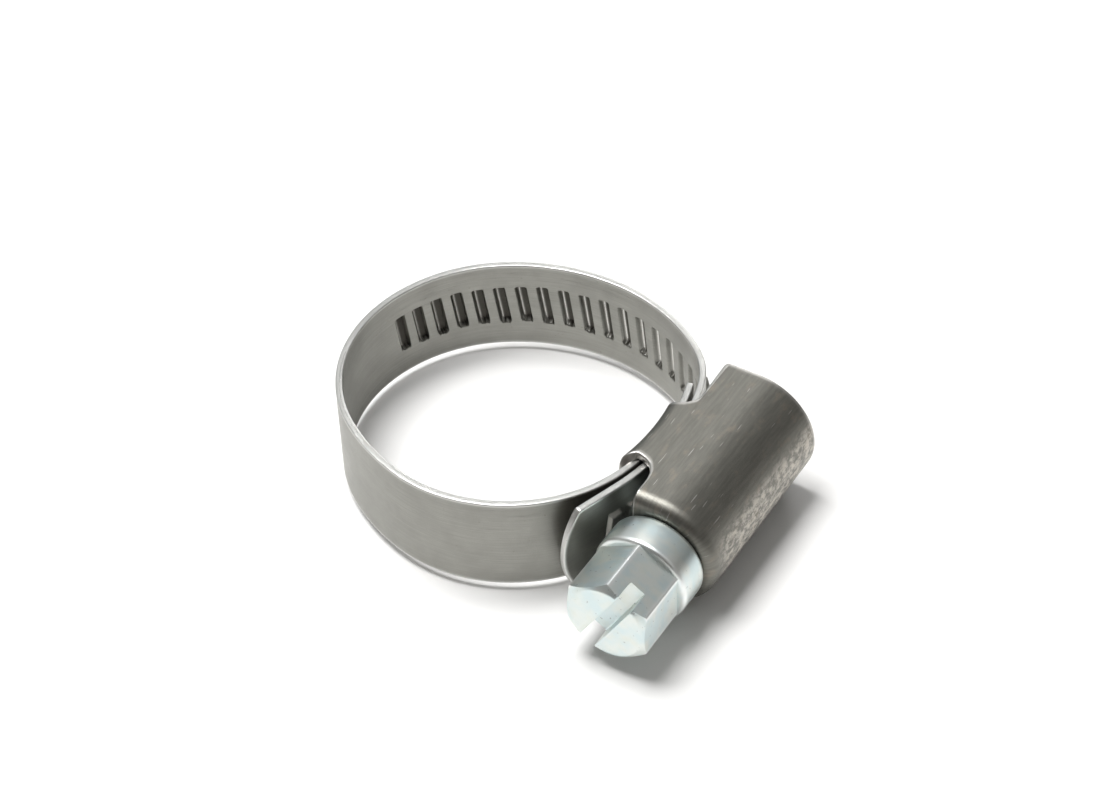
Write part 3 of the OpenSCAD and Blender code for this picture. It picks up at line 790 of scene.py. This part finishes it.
def head_piece(name, sizes, material):
    """The hexagon: a height over each point of its outline, which is the highest of the end face's
    cone and the slot's floor, and the sides that hang from it down to the collar."""
    end = float(SCREW_LOW[1])
    r, flat = sizes.corner_r, sizes.hex_af / 2
    tip = flat / math.cos(math.pi / 6)
    top_p = tip - r / math.sin(math.pi / 3) + r
    half_slot = sizes.slot_w / 2
    p = np.concatenate([
        np.linspace(0, half_slot - 0.12, 8), half_slot - SLOT_BESIDE,
        half_slot + np.array([0.0, *SLOT_BESIDE[2::-1], 0.12]), np.linspace(half_slot + 0.18, 1.84, 16),
        np.linspace(1.88, 2.12, 12), np.linspace(2.17, top_p - 0.16, 26),
        top_p - 0.14 * (1 - np.sin(np.linspace(0.1, 1.5, 8))) - 0.002,
    ])
    p = np.concatenate([-p[:0:-1], p])
    q = np.concatenate([
        np.linspace(-1, -0.9, 9)[:-1], np.linspace(-0.9, 0.9, 57), np.linspace(0.9, 1, 9)[1:],
    ])
    pp, qq = np.meshgrid(p, q, indexing="ij")
    qq = qq * chord(sizes, pp)
    radius = np.hypot(pp, qq)
    rise = (radius - sizes.chamfer_r) * CHAMFER_SLOPE
    face = 0.5 * (rise + np.sqrt(rise**2 + CHAMFER_SOFTENING**2))
    wall = np.abs(np.abs(pp) - half_slot)
    in_slot = np.abs(pp) < half_slot
    lip = LIP_BURR[0] * bell(wall, LIP_BURR[1]) * ~in_slot
    deep = sizes.slot_d - FLOOR_FILLET[0] * bell(wall, FLOOR_FILLET[1])
    rough = 0.006 * np.sin(pp * 9 + 1) * np.sin(qq * 5)
    height = np.where(in_slot, deep, face + lip) + rough * in_slot
    number = np.arange(pp.size).reshape(pp.shape)
    rim = np.concatenate([number[0], number[1:, -1], number[-1, -2::-1], number[-2:0:-1, 0]])
    depth = height.ravel()
    total = sizes.hex_l + HEAD_SINK
    side_h = depth[rim] + (total - depth[rim]) * SIDE_STEPS[:, None]
    side_p = np.broadcast_to(pp.ravel()[rim], side_h.shape)
    side_q = np.broadcast_to(qq.ravel()[rim], side_h.shape)
    flat_p = np.concatenate([pp.ravel(), side_p.ravel(), [0.0]])
    flat_q = np.concatenate([qq.ravel(), side_q.ravel(), [0.0]])
    flat_h = np.concatenate([depth, side_h.ravel(), [total]])
    slot_a = sizes.slot_turn
    x = SCREW_X + flat_p * math.cos(slot_a) - flat_q * math.sin(slot_a)
    z = flat_p * math.sin(slot_a) + flat_q * math.cos(slot_a)
    points = np.stack([x, end + flat_h, z], axis=-1)
    top_quads = grid_quads(*pp.shape)
    count, start = len(rim), pp.size
    first = start + np.arange(count)
    joins = np.stack([rim, np.roll(rim, -1), np.roll(first, -1), first], axis=-1)
    sides = grid_quads(len(SIDE_STEPS), count, close_columns=True, first=start)
    last = first + (len(SIDE_STEPS) - 1) * count
    hub = np.full(count // 2, len(points) - 1)
    base = np.stack([last[0::2], last[1::2], np.roll(last, -2)[0::2], hub], axis=-1)
    quads = np.concatenate([top_quads[:, ::-1], joins[:, ::-1], sides[:, ::-1], base[:, ::-1]])
    layers = {
        "worn": bell(tip - 0.04 - np.hypot(flat_p, flat_q), 0.10),
        "place": np.stack([flat_p, flat_h, flat_q], axis=-1),
    }
    return make_piece(name, points, quads, layers, material, HEAD_SHARP_ANGLE)


# --- Materials ---


class Value:
    """A socket that carries a number or a vector, with Python's operators as Math nodes."""

    def __init__(self, bench, socket):
        self.bench = bench
        self.socket = socket

    def math(self, operation, *others):
        return self.bench.node("ShaderNodeMath", {"operation": operation}, self, *others)[0]

    def __add__(self, other):
        return self.math("ADD", other)

    def __sub__(self, other):
        return self.math("SUBTRACT", other)

    def __rsub__(self, other):
        return self.bench.node("ShaderNodeMath", {"operation": "SUBTRACT"}, other, self)[0]

    def __mul__(self, other):
        return self.math("MULTIPLY", other)

    __radd__ = __add__
    __rmul__ = __mul__

    def between(self, low, high):
        """0 at low, 1 at high and a smooth rise between them."""
        settings = {"interpolation_type": "SMOOTHSTEP"}
        return self.bench.node("ShaderNodeMapRange", settings, self, low, high, 0.0, 1.0)[0]


class Bench:
    """The node tree of one finish, or of the sky."""

    def __init__(self, tree):
        self.tree = tree
        tree.nodes.clear()

    def node(self, kind, settings, *inputs, **named):
        """A node of a type, with its settings made first and then its sockets' values or links."""
        made = self.tree.nodes.new(kind)
        for key, value in settings.items():
            setattr(made, key, value)
        sockets = [socket for socket in made.inputs if socket.enabled]
        for socket, value in list(zip(sockets, inputs)) + [
            (made.inputs[key.replace("_", " ")], value) for key, value in named.items()
        ]:
            if isinstance(value, Value):
                self.tree.links.new(value.socket, socket)
            elif value is not None:
                socket.default_value = value
        return [Value(self, socket) for socket in made.outputs if socket.enabled]

    def layer(self, name):
        """A named mesh attribute, as a number."""
        return self.node("ShaderNodeAttribute", {"attribute_name": name})[2]

    def along(self, name, scale):
        """A mesh attribute's vector, stretched by a scale on each axis."""
        place = self.node("ShaderNodeAttribute", {"attribute_name": name})[1]
        return self.node("ShaderNodeVectorMath", {"operation": "MULTIPLY"}, place, scale)[0]

    def noise(self, where, scale, detail, roughness):
        """A soft random pattern, from 0 to 1."""
        return self.node("ShaderNodeTexNoise", {}, Vector=where, Scale=scale, Detail=detail,
                         Roughness=roughness)[0]

    def patterns(self, *rows):
        """Random patterns over a piece's places in millimetres, one for each row of stretch, scale,
        detail and roughness."""
        return [self.noise(self.along("place", stretch), *kind) for stretch, *kind in rows]

    def mix(self, factor, one, other):
        """A colour between two colours."""
        ends = (end if isinstance(end, Value) else (*end, 1.0) for end in (one, other))
        return self.node("ShaderNodeMix", {"data_type": "RGBA"}, factor, *ends)[0]

    def towards(self, way, direction):
        """How closely a direction agrees with a fixed one."""
        return self.node("ShaderNodeVectorMath", {"operation": "DOT_PRODUCT"}, way, direction)[0]

    def bump(self, height, strength, distance):
        """A normal that is tipped by a height."""
        return self.node("ShaderNodeBump", {}, Strength=strength, Distance=distance, Height=height)[0]

    def finish(self, colour, roughness, metallic, normal):
        """The metal's surface, joined to the output."""
        shader = self.node("ShaderNodeBsdfPrincipled", {}, Base_Color=colour, Roughness=roughness,
                           Metallic=metallic, Normal=normal)[0]
        self.node("ShaderNodeOutputMaterial", {}, shader)


# Stretch of an even pattern, and the depth of the steels' grain in metres
EVEN = (1.0, 1.0, 1.0)
GRAIN_DEPTH = 2.6e-5
# Colours of bright rubbed metal, of painted highlights, of dirt that is also painted shade, and of stains
STRIP_BRIGHT = (0.80, 0.80, 0.78)
# Painted highlight along the pockets' wide flanks
STRIP_GLEAM = (0.92, 0.91, 0.87)
HOUSING_BRIGHT = (0.78, 0.76, 0.73)
HOUSING_RUBBED = (0.90, 0.84, 0.76)
HOUSING_STAIN = (0.30, 0.26, 0.21)
HOUSING_PIT = (0.17, 0.14, 0.12)
# Dirt specks on the strip, and painted shade over the housing's inner face
DIRT_AND_SHADE = (0.20, 0.18, 0.16)
ZINC_BLUE = (0.66, 0.76, 0.77)
ZINC_STRAW = (0.70, 0.72, 0.62)
ZINC_KNOCK = (0.30, 0.31, 0.31)
# Worn hexagon edges, and a painted highlight round the collar's rim
ZINC_BRIGHT = (0.97, 0.98, 0.97)


def shade(colour, share=1.0):
    """A share of a colour's light."""
    return tuple(part * share for part in colour)


def new_finish(name):
    """An empty material and its bench."""
    made = bpy.data.materials.new(name)
    made.use_nodes = True
    return made, Bench(made.node_tree)


def strip_steel(sizes):
    """Rolled stainless strip: lines along its length, blotches, specks, pockets darkened with painted shade and a
    painted highlight on their wide flanks, bright edges.
    """
    made, b = new_finish("strip_steel")
    rolled, fine, blotch, grain, speck, scratch = b.patterns(
        ((0.16, 7.0, 1.0), 1.3, 4.0, 0.65),
        ((0.5, 26.0, 1.0), 1.2, 3.0, 0.6),
        (EVEN, 0.42, 3.0, 0.6),
        ((1.0, 1.3, 1.0), 9.0, 4.0, 0.7),
        (EVEN, 3.1, 2.0, 0.5),
        ((0.12, 9.0, 1.0), 0.9, 2.0, 0.4),
    )
    speck = speck.between(0.70, 0.76)
    scratch = scratch.between(0.66, 0.70)
    pocket = b.layer("pocket").between(0.05, 0.95)
    gleam = b.layer("gleam")
    worn = b.layer("worn")
    tone = b.mix(rolled.between(0.3, 0.7), shade(sizes.steel, 0.86), shade(sizes.steel))
    tone = b.mix(blotch.between(0.35, 0.7) * 0.5, tone, shade(sizes.steel, 0.80))
    tone = b.mix(speck * 0.55, tone, DIRT_AND_SHADE)
    # Pockets darkened towards the pocket colour: painted shade
    tone = b.mix(pocket * (0.8 + grain * 0.25), tone, shade(sizes.stain))
    # Painted highlight along the pockets' wide flanks
    tone = b.mix(gleam * grain.between(0.2, 0.5) * 0.95, tone, STRIP_GLEAM)
    tone = b.mix(worn * 0.65, tone, STRIP_BRIGHT)
    rough = 0.27 + blotch * 0.12 + grain * 0.10 + pocket * 0.22 - scratch * 0.08 - worn * 0.05
    height = rolled * 0.7 + fine * 0.5 + grain * 0.6 - scratch * 0.6 - speck * 0.4
    b.finish(tone, rough, 1.0, b.bump(height, 0.6, GRAIN_DEPTH))
    return made


def housing_steel(sizes):
    """Dull pressed stainless sheet: fine grain, drawn streaks, stains, rubbed cut edges and painted shade over its
    inner face.
    """
    made, b = new_finish("housing_steel")
    grain, streak, blotch, stain, torn, pit, scratch = b.patterns(
        (EVEN, 11.0, 5.0, 0.75),
        ((2.4, 0.22, 1.0), 1.6, 4.0, 0.6),
        (EVEN, 0.55, 3.0, 0.6),
        ((1.3, 0.6, 1.0), 0.9, 4.0, 0.65),
        ((1.0, 0.55, 1.0), 1.9, 5.0, 0.7),
        (EVEN, 4.2, 2.0, 0.5),
        ((7.0, 0.55, 1.0), 0.8, 1.0, 0.4),
    )
    stain = stain.between(0.52, 0.72)
    pit = pit.between(0.69, 0.76)
    scratch = scratch.between(0.72, 0.76)
    rubbed = b.layer("rubbed") * torn.between(0.40, 0.62)
    worn = b.layer("worn")
    outside = b.layer("outside")
    tone = b.mix(streak.between(0.3, 0.7), shade(sizes.steel, 0.80), shade(sizes.steel))
    tone = b.mix(stain * 0.45, tone, HOUSING_STAIN)
    tone = b.mix(pit * 0.5, tone, HOUSING_PIT)
    tone = b.mix(worn * 0.6 + scratch * 0.35, tone, HOUSING_BRIGHT)
    tone = b.mix(rubbed * 0.55, tone, HOUSING_RUBBED)
    # Painted shade: the inner face, under the sheet, darkened towards the dark colour
    tone = b.mix((1 - outside) * 0.35, tone, DIRT_AND_SHADE)
    rough = 0.30 + blotch * 0.12 + grain * 0.10 - worn * 0.09 + stain * 0.05 + rubbed * 0.12
    height = grain * 1.2 + streak * 0.5 - pit * 0.8 + rubbed * torn * 1.8
    b.finish(tone, rough, 1.0, b.bump(height, 0.6, GRAIN_DEPTH))
    return made


def screw_zinc(sizes):
    """Bright zinc plating: bluish with faint green and straw tints, turned lines, small knocks, worn hexagon edges
    and a painted highlight round the collar's rim.
    """
    made, b = new_finish("screw_zinc")
    cloud, tint, turned, grain, knock = b.patterns(
        (EVEN, 0.8, 3.0, 0.6),
        ((1.0, 1.6, 1.0), 0.45, 2.0, 0.5),
        ((0.10, 12.0, 1.0), 1.0, 3.0, 0.6),
        (EVEN, 10.0, 4.0, 0.7),
        (EVEN, 2.6, 2.0, 0.5),
    )
    knock = knock.between(0.68, 0.74)
    tone = b.mix(tint.between(0.35, 0.65), ZINC_BLUE, shade(sizes.zinc))
    tone = b.mix(cloud.between(0.45, 0.75) * 0.30, tone, ZINC_STRAW)
    tone = b.mix(knock * 0.6, tone, ZINC_KNOCK)
    # Worn hexagon edges, and a painted highlight round the collar's rim on the hexagon's side
    tone = b.mix(b.layer("worn") * 0.7, tone, ZINC_BRIGHT)
    rough = 0.25 + cloud * 0.14 + grain * 0.09 + knock * 0.12
    height = turned * 0.4 + grain * 0.5 - knock * 0.5
    b.finish(tone, rough, 1.0, b.bump(height, 0.5, 2e-5))
    return made


def floor_paper(sizes):
    """Plain pale floor with the faintest tooth."""
    made, b = new_finish("floor_paper")
    where = b.node("ShaderNodeTexCoord", {})[3]
    tooth = b.noise(where, 90.0, 3.0, 0.6)
    tone = b.mix(tooth * 0.25, shade(sizes.floor), shade(sizes.floor, 0.985))
    b.finish(tone, 0.85 + tooth * 0.1, 0.0, b.bump(tooth, 0.1, 1e-5))
    return made


# --- Operators ---

# Lengths of the strip: the body at its end, the CAD pieces it stands for, its direction at the bend
# line and how far to both sides it bends, in millimetres
LENGTHS = {
    "strip_fixed_end": ("front_stretch", ("band_fixed_end", "band_front"), (-0.208, -0.978), 1.0),
    "strip_side": ("back_stretch", ("band_front", "band_back"), (0.0, 1.0), 2.5),
    "strip_free_end": ("free_end", ("band_back", "band_free_end"), (0.30, -0.954), 1.0),
}
FLOOR_HALF = 1.5
# Soft square lamps, in metres and watts: place, size and power
LAMPS = {
    "window": ((-0.17, -0.03, 0.645), 0.30, 5.1),
    "side": ((-0.20, 0.60, 0.30), 0.24, 0.8),
}
# The room's colours, and the directions of its pale wall and of the person in it
HORIZON = (0.15, 0.13, 0.11)
OVERHEAD = (0.80, 0.80, 0.79)
WALL = (1.05, 1.12, 1.16)
WALL_WAY = (-0.82, 0.57, 0.02)
PERSON = (0.07, 0.05, 0.042)
PERSON_WAY = (0.32, -0.76, 0.57)
# The camera, in millimetres
FOCAL = 81.818
FILM_W = 36.0
CAMERA_RIGHT = (0.85106, 0.5246, -0.02205)
CAMERA_UP = (-0.3445, 0.58958, 0.73056)
CAMERA_PLACE = (86.661, -127.798, 145.242)


class HOSECLAMP_OT_strip(bpy.types.Operator):
    """Make the toothed strip in three lengths"""

    bl_idname = "hose_clamp.strip"
    bl_label = "Strip"

    def execute(self, context):
        sizes = context.scene.hose_clamp_strip
        line = StripLine(sizes)
        steel = strip_steel(sizes)
        mid_front = (line.front_bend + line.side_bend) / 2
        mid_back = line.screw - JOIN_TEETH * sizes.tooth_pitch
        bends = {joint["child"]: joint for joint in frame["joints"]}
        cuts = (line.s[0], mid_front, mid_back, line.tip)
        for k, (name, (child, nodes, way, reach)) in enumerate(LENGTHS.items()):
            piece = strip_piece(name, sizes, line, cuts[k], cuts[k + 1], steel)
            joint = bends[child]
            at = np.array(joint["pos_m"])
            step = np.array([*way, 0.0]) * reach * MM
            tuple(at - step)
            tuple(at + step)
            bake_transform(piece)
            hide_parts(*nodes)
        return {"FINISHED"}


class HOSECLAMP_OT_housing(bpy.types.Operator):
    """Make the housing from one folded sheet"""

    bl_idname = "hose_clamp.housing"
    bl_label = "Housing"

    def execute(self, context):
        sizes = context.scene.hose_clamp_housing
        piece = housing_piece(sizes, housing_steel(sizes))
        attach(piece, "housing")
        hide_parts("housing")
        return {"FINISHED"}


class HOSECLAMP_OT_screw(bpy.types.Operator):
    """Make the worm screw: its turned body and its slotted hexagon"""

    bl_idname = "hose_clamp.screw"
    bl_label = "Screw"

    def execute(self, context):
        sizes = context.scene.hose_clamp_screw
        zinc = screw_zinc(sizes)
        body = turned_piece("screw_body", sizes, zinc)
        head = head_piece("screw_head", sizes, zinc)
        for piece in (body, head):
            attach(piece, "screw")
            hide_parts("worm_screw")
        return {"FINISHED"}


class HOSECLAMP_OT_stage(bpy.types.Operator):
    """Lay the floor, hang the light and set the camera"""

    bl_idname = "hose_clamp.stage"
    bl_label = "Stage"

    def execute(self, context):
        scene = context.scene
        sizes = scene.hose_clamp_stage
        lay_floor(sizes)
        light_sky(scene, sizes)
        hang_lights(scene, sizes)
        set_camera(scene)
        scene.view_settings.view_transform = "Standard"
        scene.view_settings.look = "None"
        return {"FINISHED"}


def lay_floor(sizes):
    """A flat square under the clamp's lowest point."""
    half = FLOOR_HALF
    mesh = bpy.data.meshes.new("floor")
    corners = [(-half, -half, FLOOR_Z), (half, -half, FLOOR_Z), (half, half, FLOOR_Z), (-half, half, FLOOR_Z)]
    mesh.from_pydata(corners, [], [(0, 1, 2, 3)])
    mesh.materials.append(floor_paper(sizes))
    floor = bpy.data.objects.new("floor", mesh)
    bpy.context.scene.collection.objects.link(floor)


def light_sky(scene, sizes):
    """Soft light all round, bright overhead and dark towards the horizon, with one dark warm
    patch, like a person's, on the head's side and one pale wall at the back on the left."""
    scene.world = bpy.data.worlds.new("studio")
    scene.world.use_nodes = True
    b = Bench(scene.world.node_tree)
    up = b.node("ShaderNodeTexCoord", {})[0]
    height = b.node("ShaderNodeSeparateXYZ", {}, up)[2]
    tone = b.mix(height.between(0.16, 0.60), HORIZON, OVERHEAD)
    tone = b.mix(b.towards(up, WALL_WAY).between(0.80, 0.95), tone, WALL)
    tone = b.mix(b.towards(up, PERSON_WAY).between(0.80, 0.95) * 0.9, tone, PERSON)
    sky = b.node("ShaderNodeBackground", {}, tone, sizes.sky)[0]
    b.node("ShaderNodeOutputWorld", {}, sky)


def hang_lights(scene, sizes):
    """A large soft window light high on the left, and a weak one from behind."""
    for name, (place, width, power) in LAMPS.items():
        lamp = bpy.data.lights.new(name, "AREA")
        lamp.shape = "SQUARE"
        lamp.size = width
        lamp.energy = power * sizes.key
        made = bpy.data.objects.new(name, lamp)
        scene.collection.objects.link(made)
        made.location = place
        way = Vector(place).normalized()
        made.rotation_euler = way.to_track_quat("Z", "Y").to_euler()


def set_camera(scene):
    """Camera above and to the right of the head, looking down at the clamp."""
    camera = bpy.data.cameras.new("camera")
    camera.lens = FOCAL
    camera.sensor_width = FILM_W
    camera.clip_start = 0.005
    made = bpy.data.objects.new("camera", camera)
    scene.collection.objects.link(made)
    right, up = Vector(CAMERA_RIGHT), Vector(CAMERA_UP)
    back = right.cross(up).normalized()
    turn = Matrix((right, up, back)).transposed().to_4x4()
    turn.translation = Vector(CAMERA_PLACE) * MM
    made.matrix_world = turn
    scene.camera = made


class HOSECLAMP_PT_panel(bpy.types.Panel):
    """The clamp's pieces and their sizes"""

    bl_label = "Hose clamp"
    bl_idname = "HOSECLAMP_PT_panel"
    bl_space_type = "VIEW_3D"
    bl_region_type = "UI"
    bl_category = "Hose clamp"

    def draw(self, context):
        for operator in OPERATORS:
            self.layout.operator(operator.bl_idname)
        for key, group in GROUPS.items():
            box = self.layout.box()
            for name in group.__annotations__:
                box.prop(getattr(context.scene, key), name)


OPERATORS = (HOSECLAMP_OT_strip, HOSECLAMP_OT_housing, HOSECLAMP_OT_screw, HOSECLAMP_OT_stage)
CLASSES = (*GROUPS.values(), *OPERATORS, HOSECLAMP_PT_panel)


def register():
    for made in CLASSES:
        bpy.utils.register_class(made)
    for key, group in GROUPS.items():
        setattr(bpy.types.Scene, key, PointerProperty(type=group))


def unregister():
    for key in GROUPS:
        delattr(bpy.types.Scene, key)
    for made in reversed(CLASSES):
        bpy.utils.unregister_class(made)


def main():
    register()
    bpy.ops.hose_clamp.stage()
    bpy.ops.hose_clamp.strip()
    bpy.ops.hose_clamp.housing()
    bpy.ops.hose_clamp.screw()


if __name__ == "__main__":
    main()
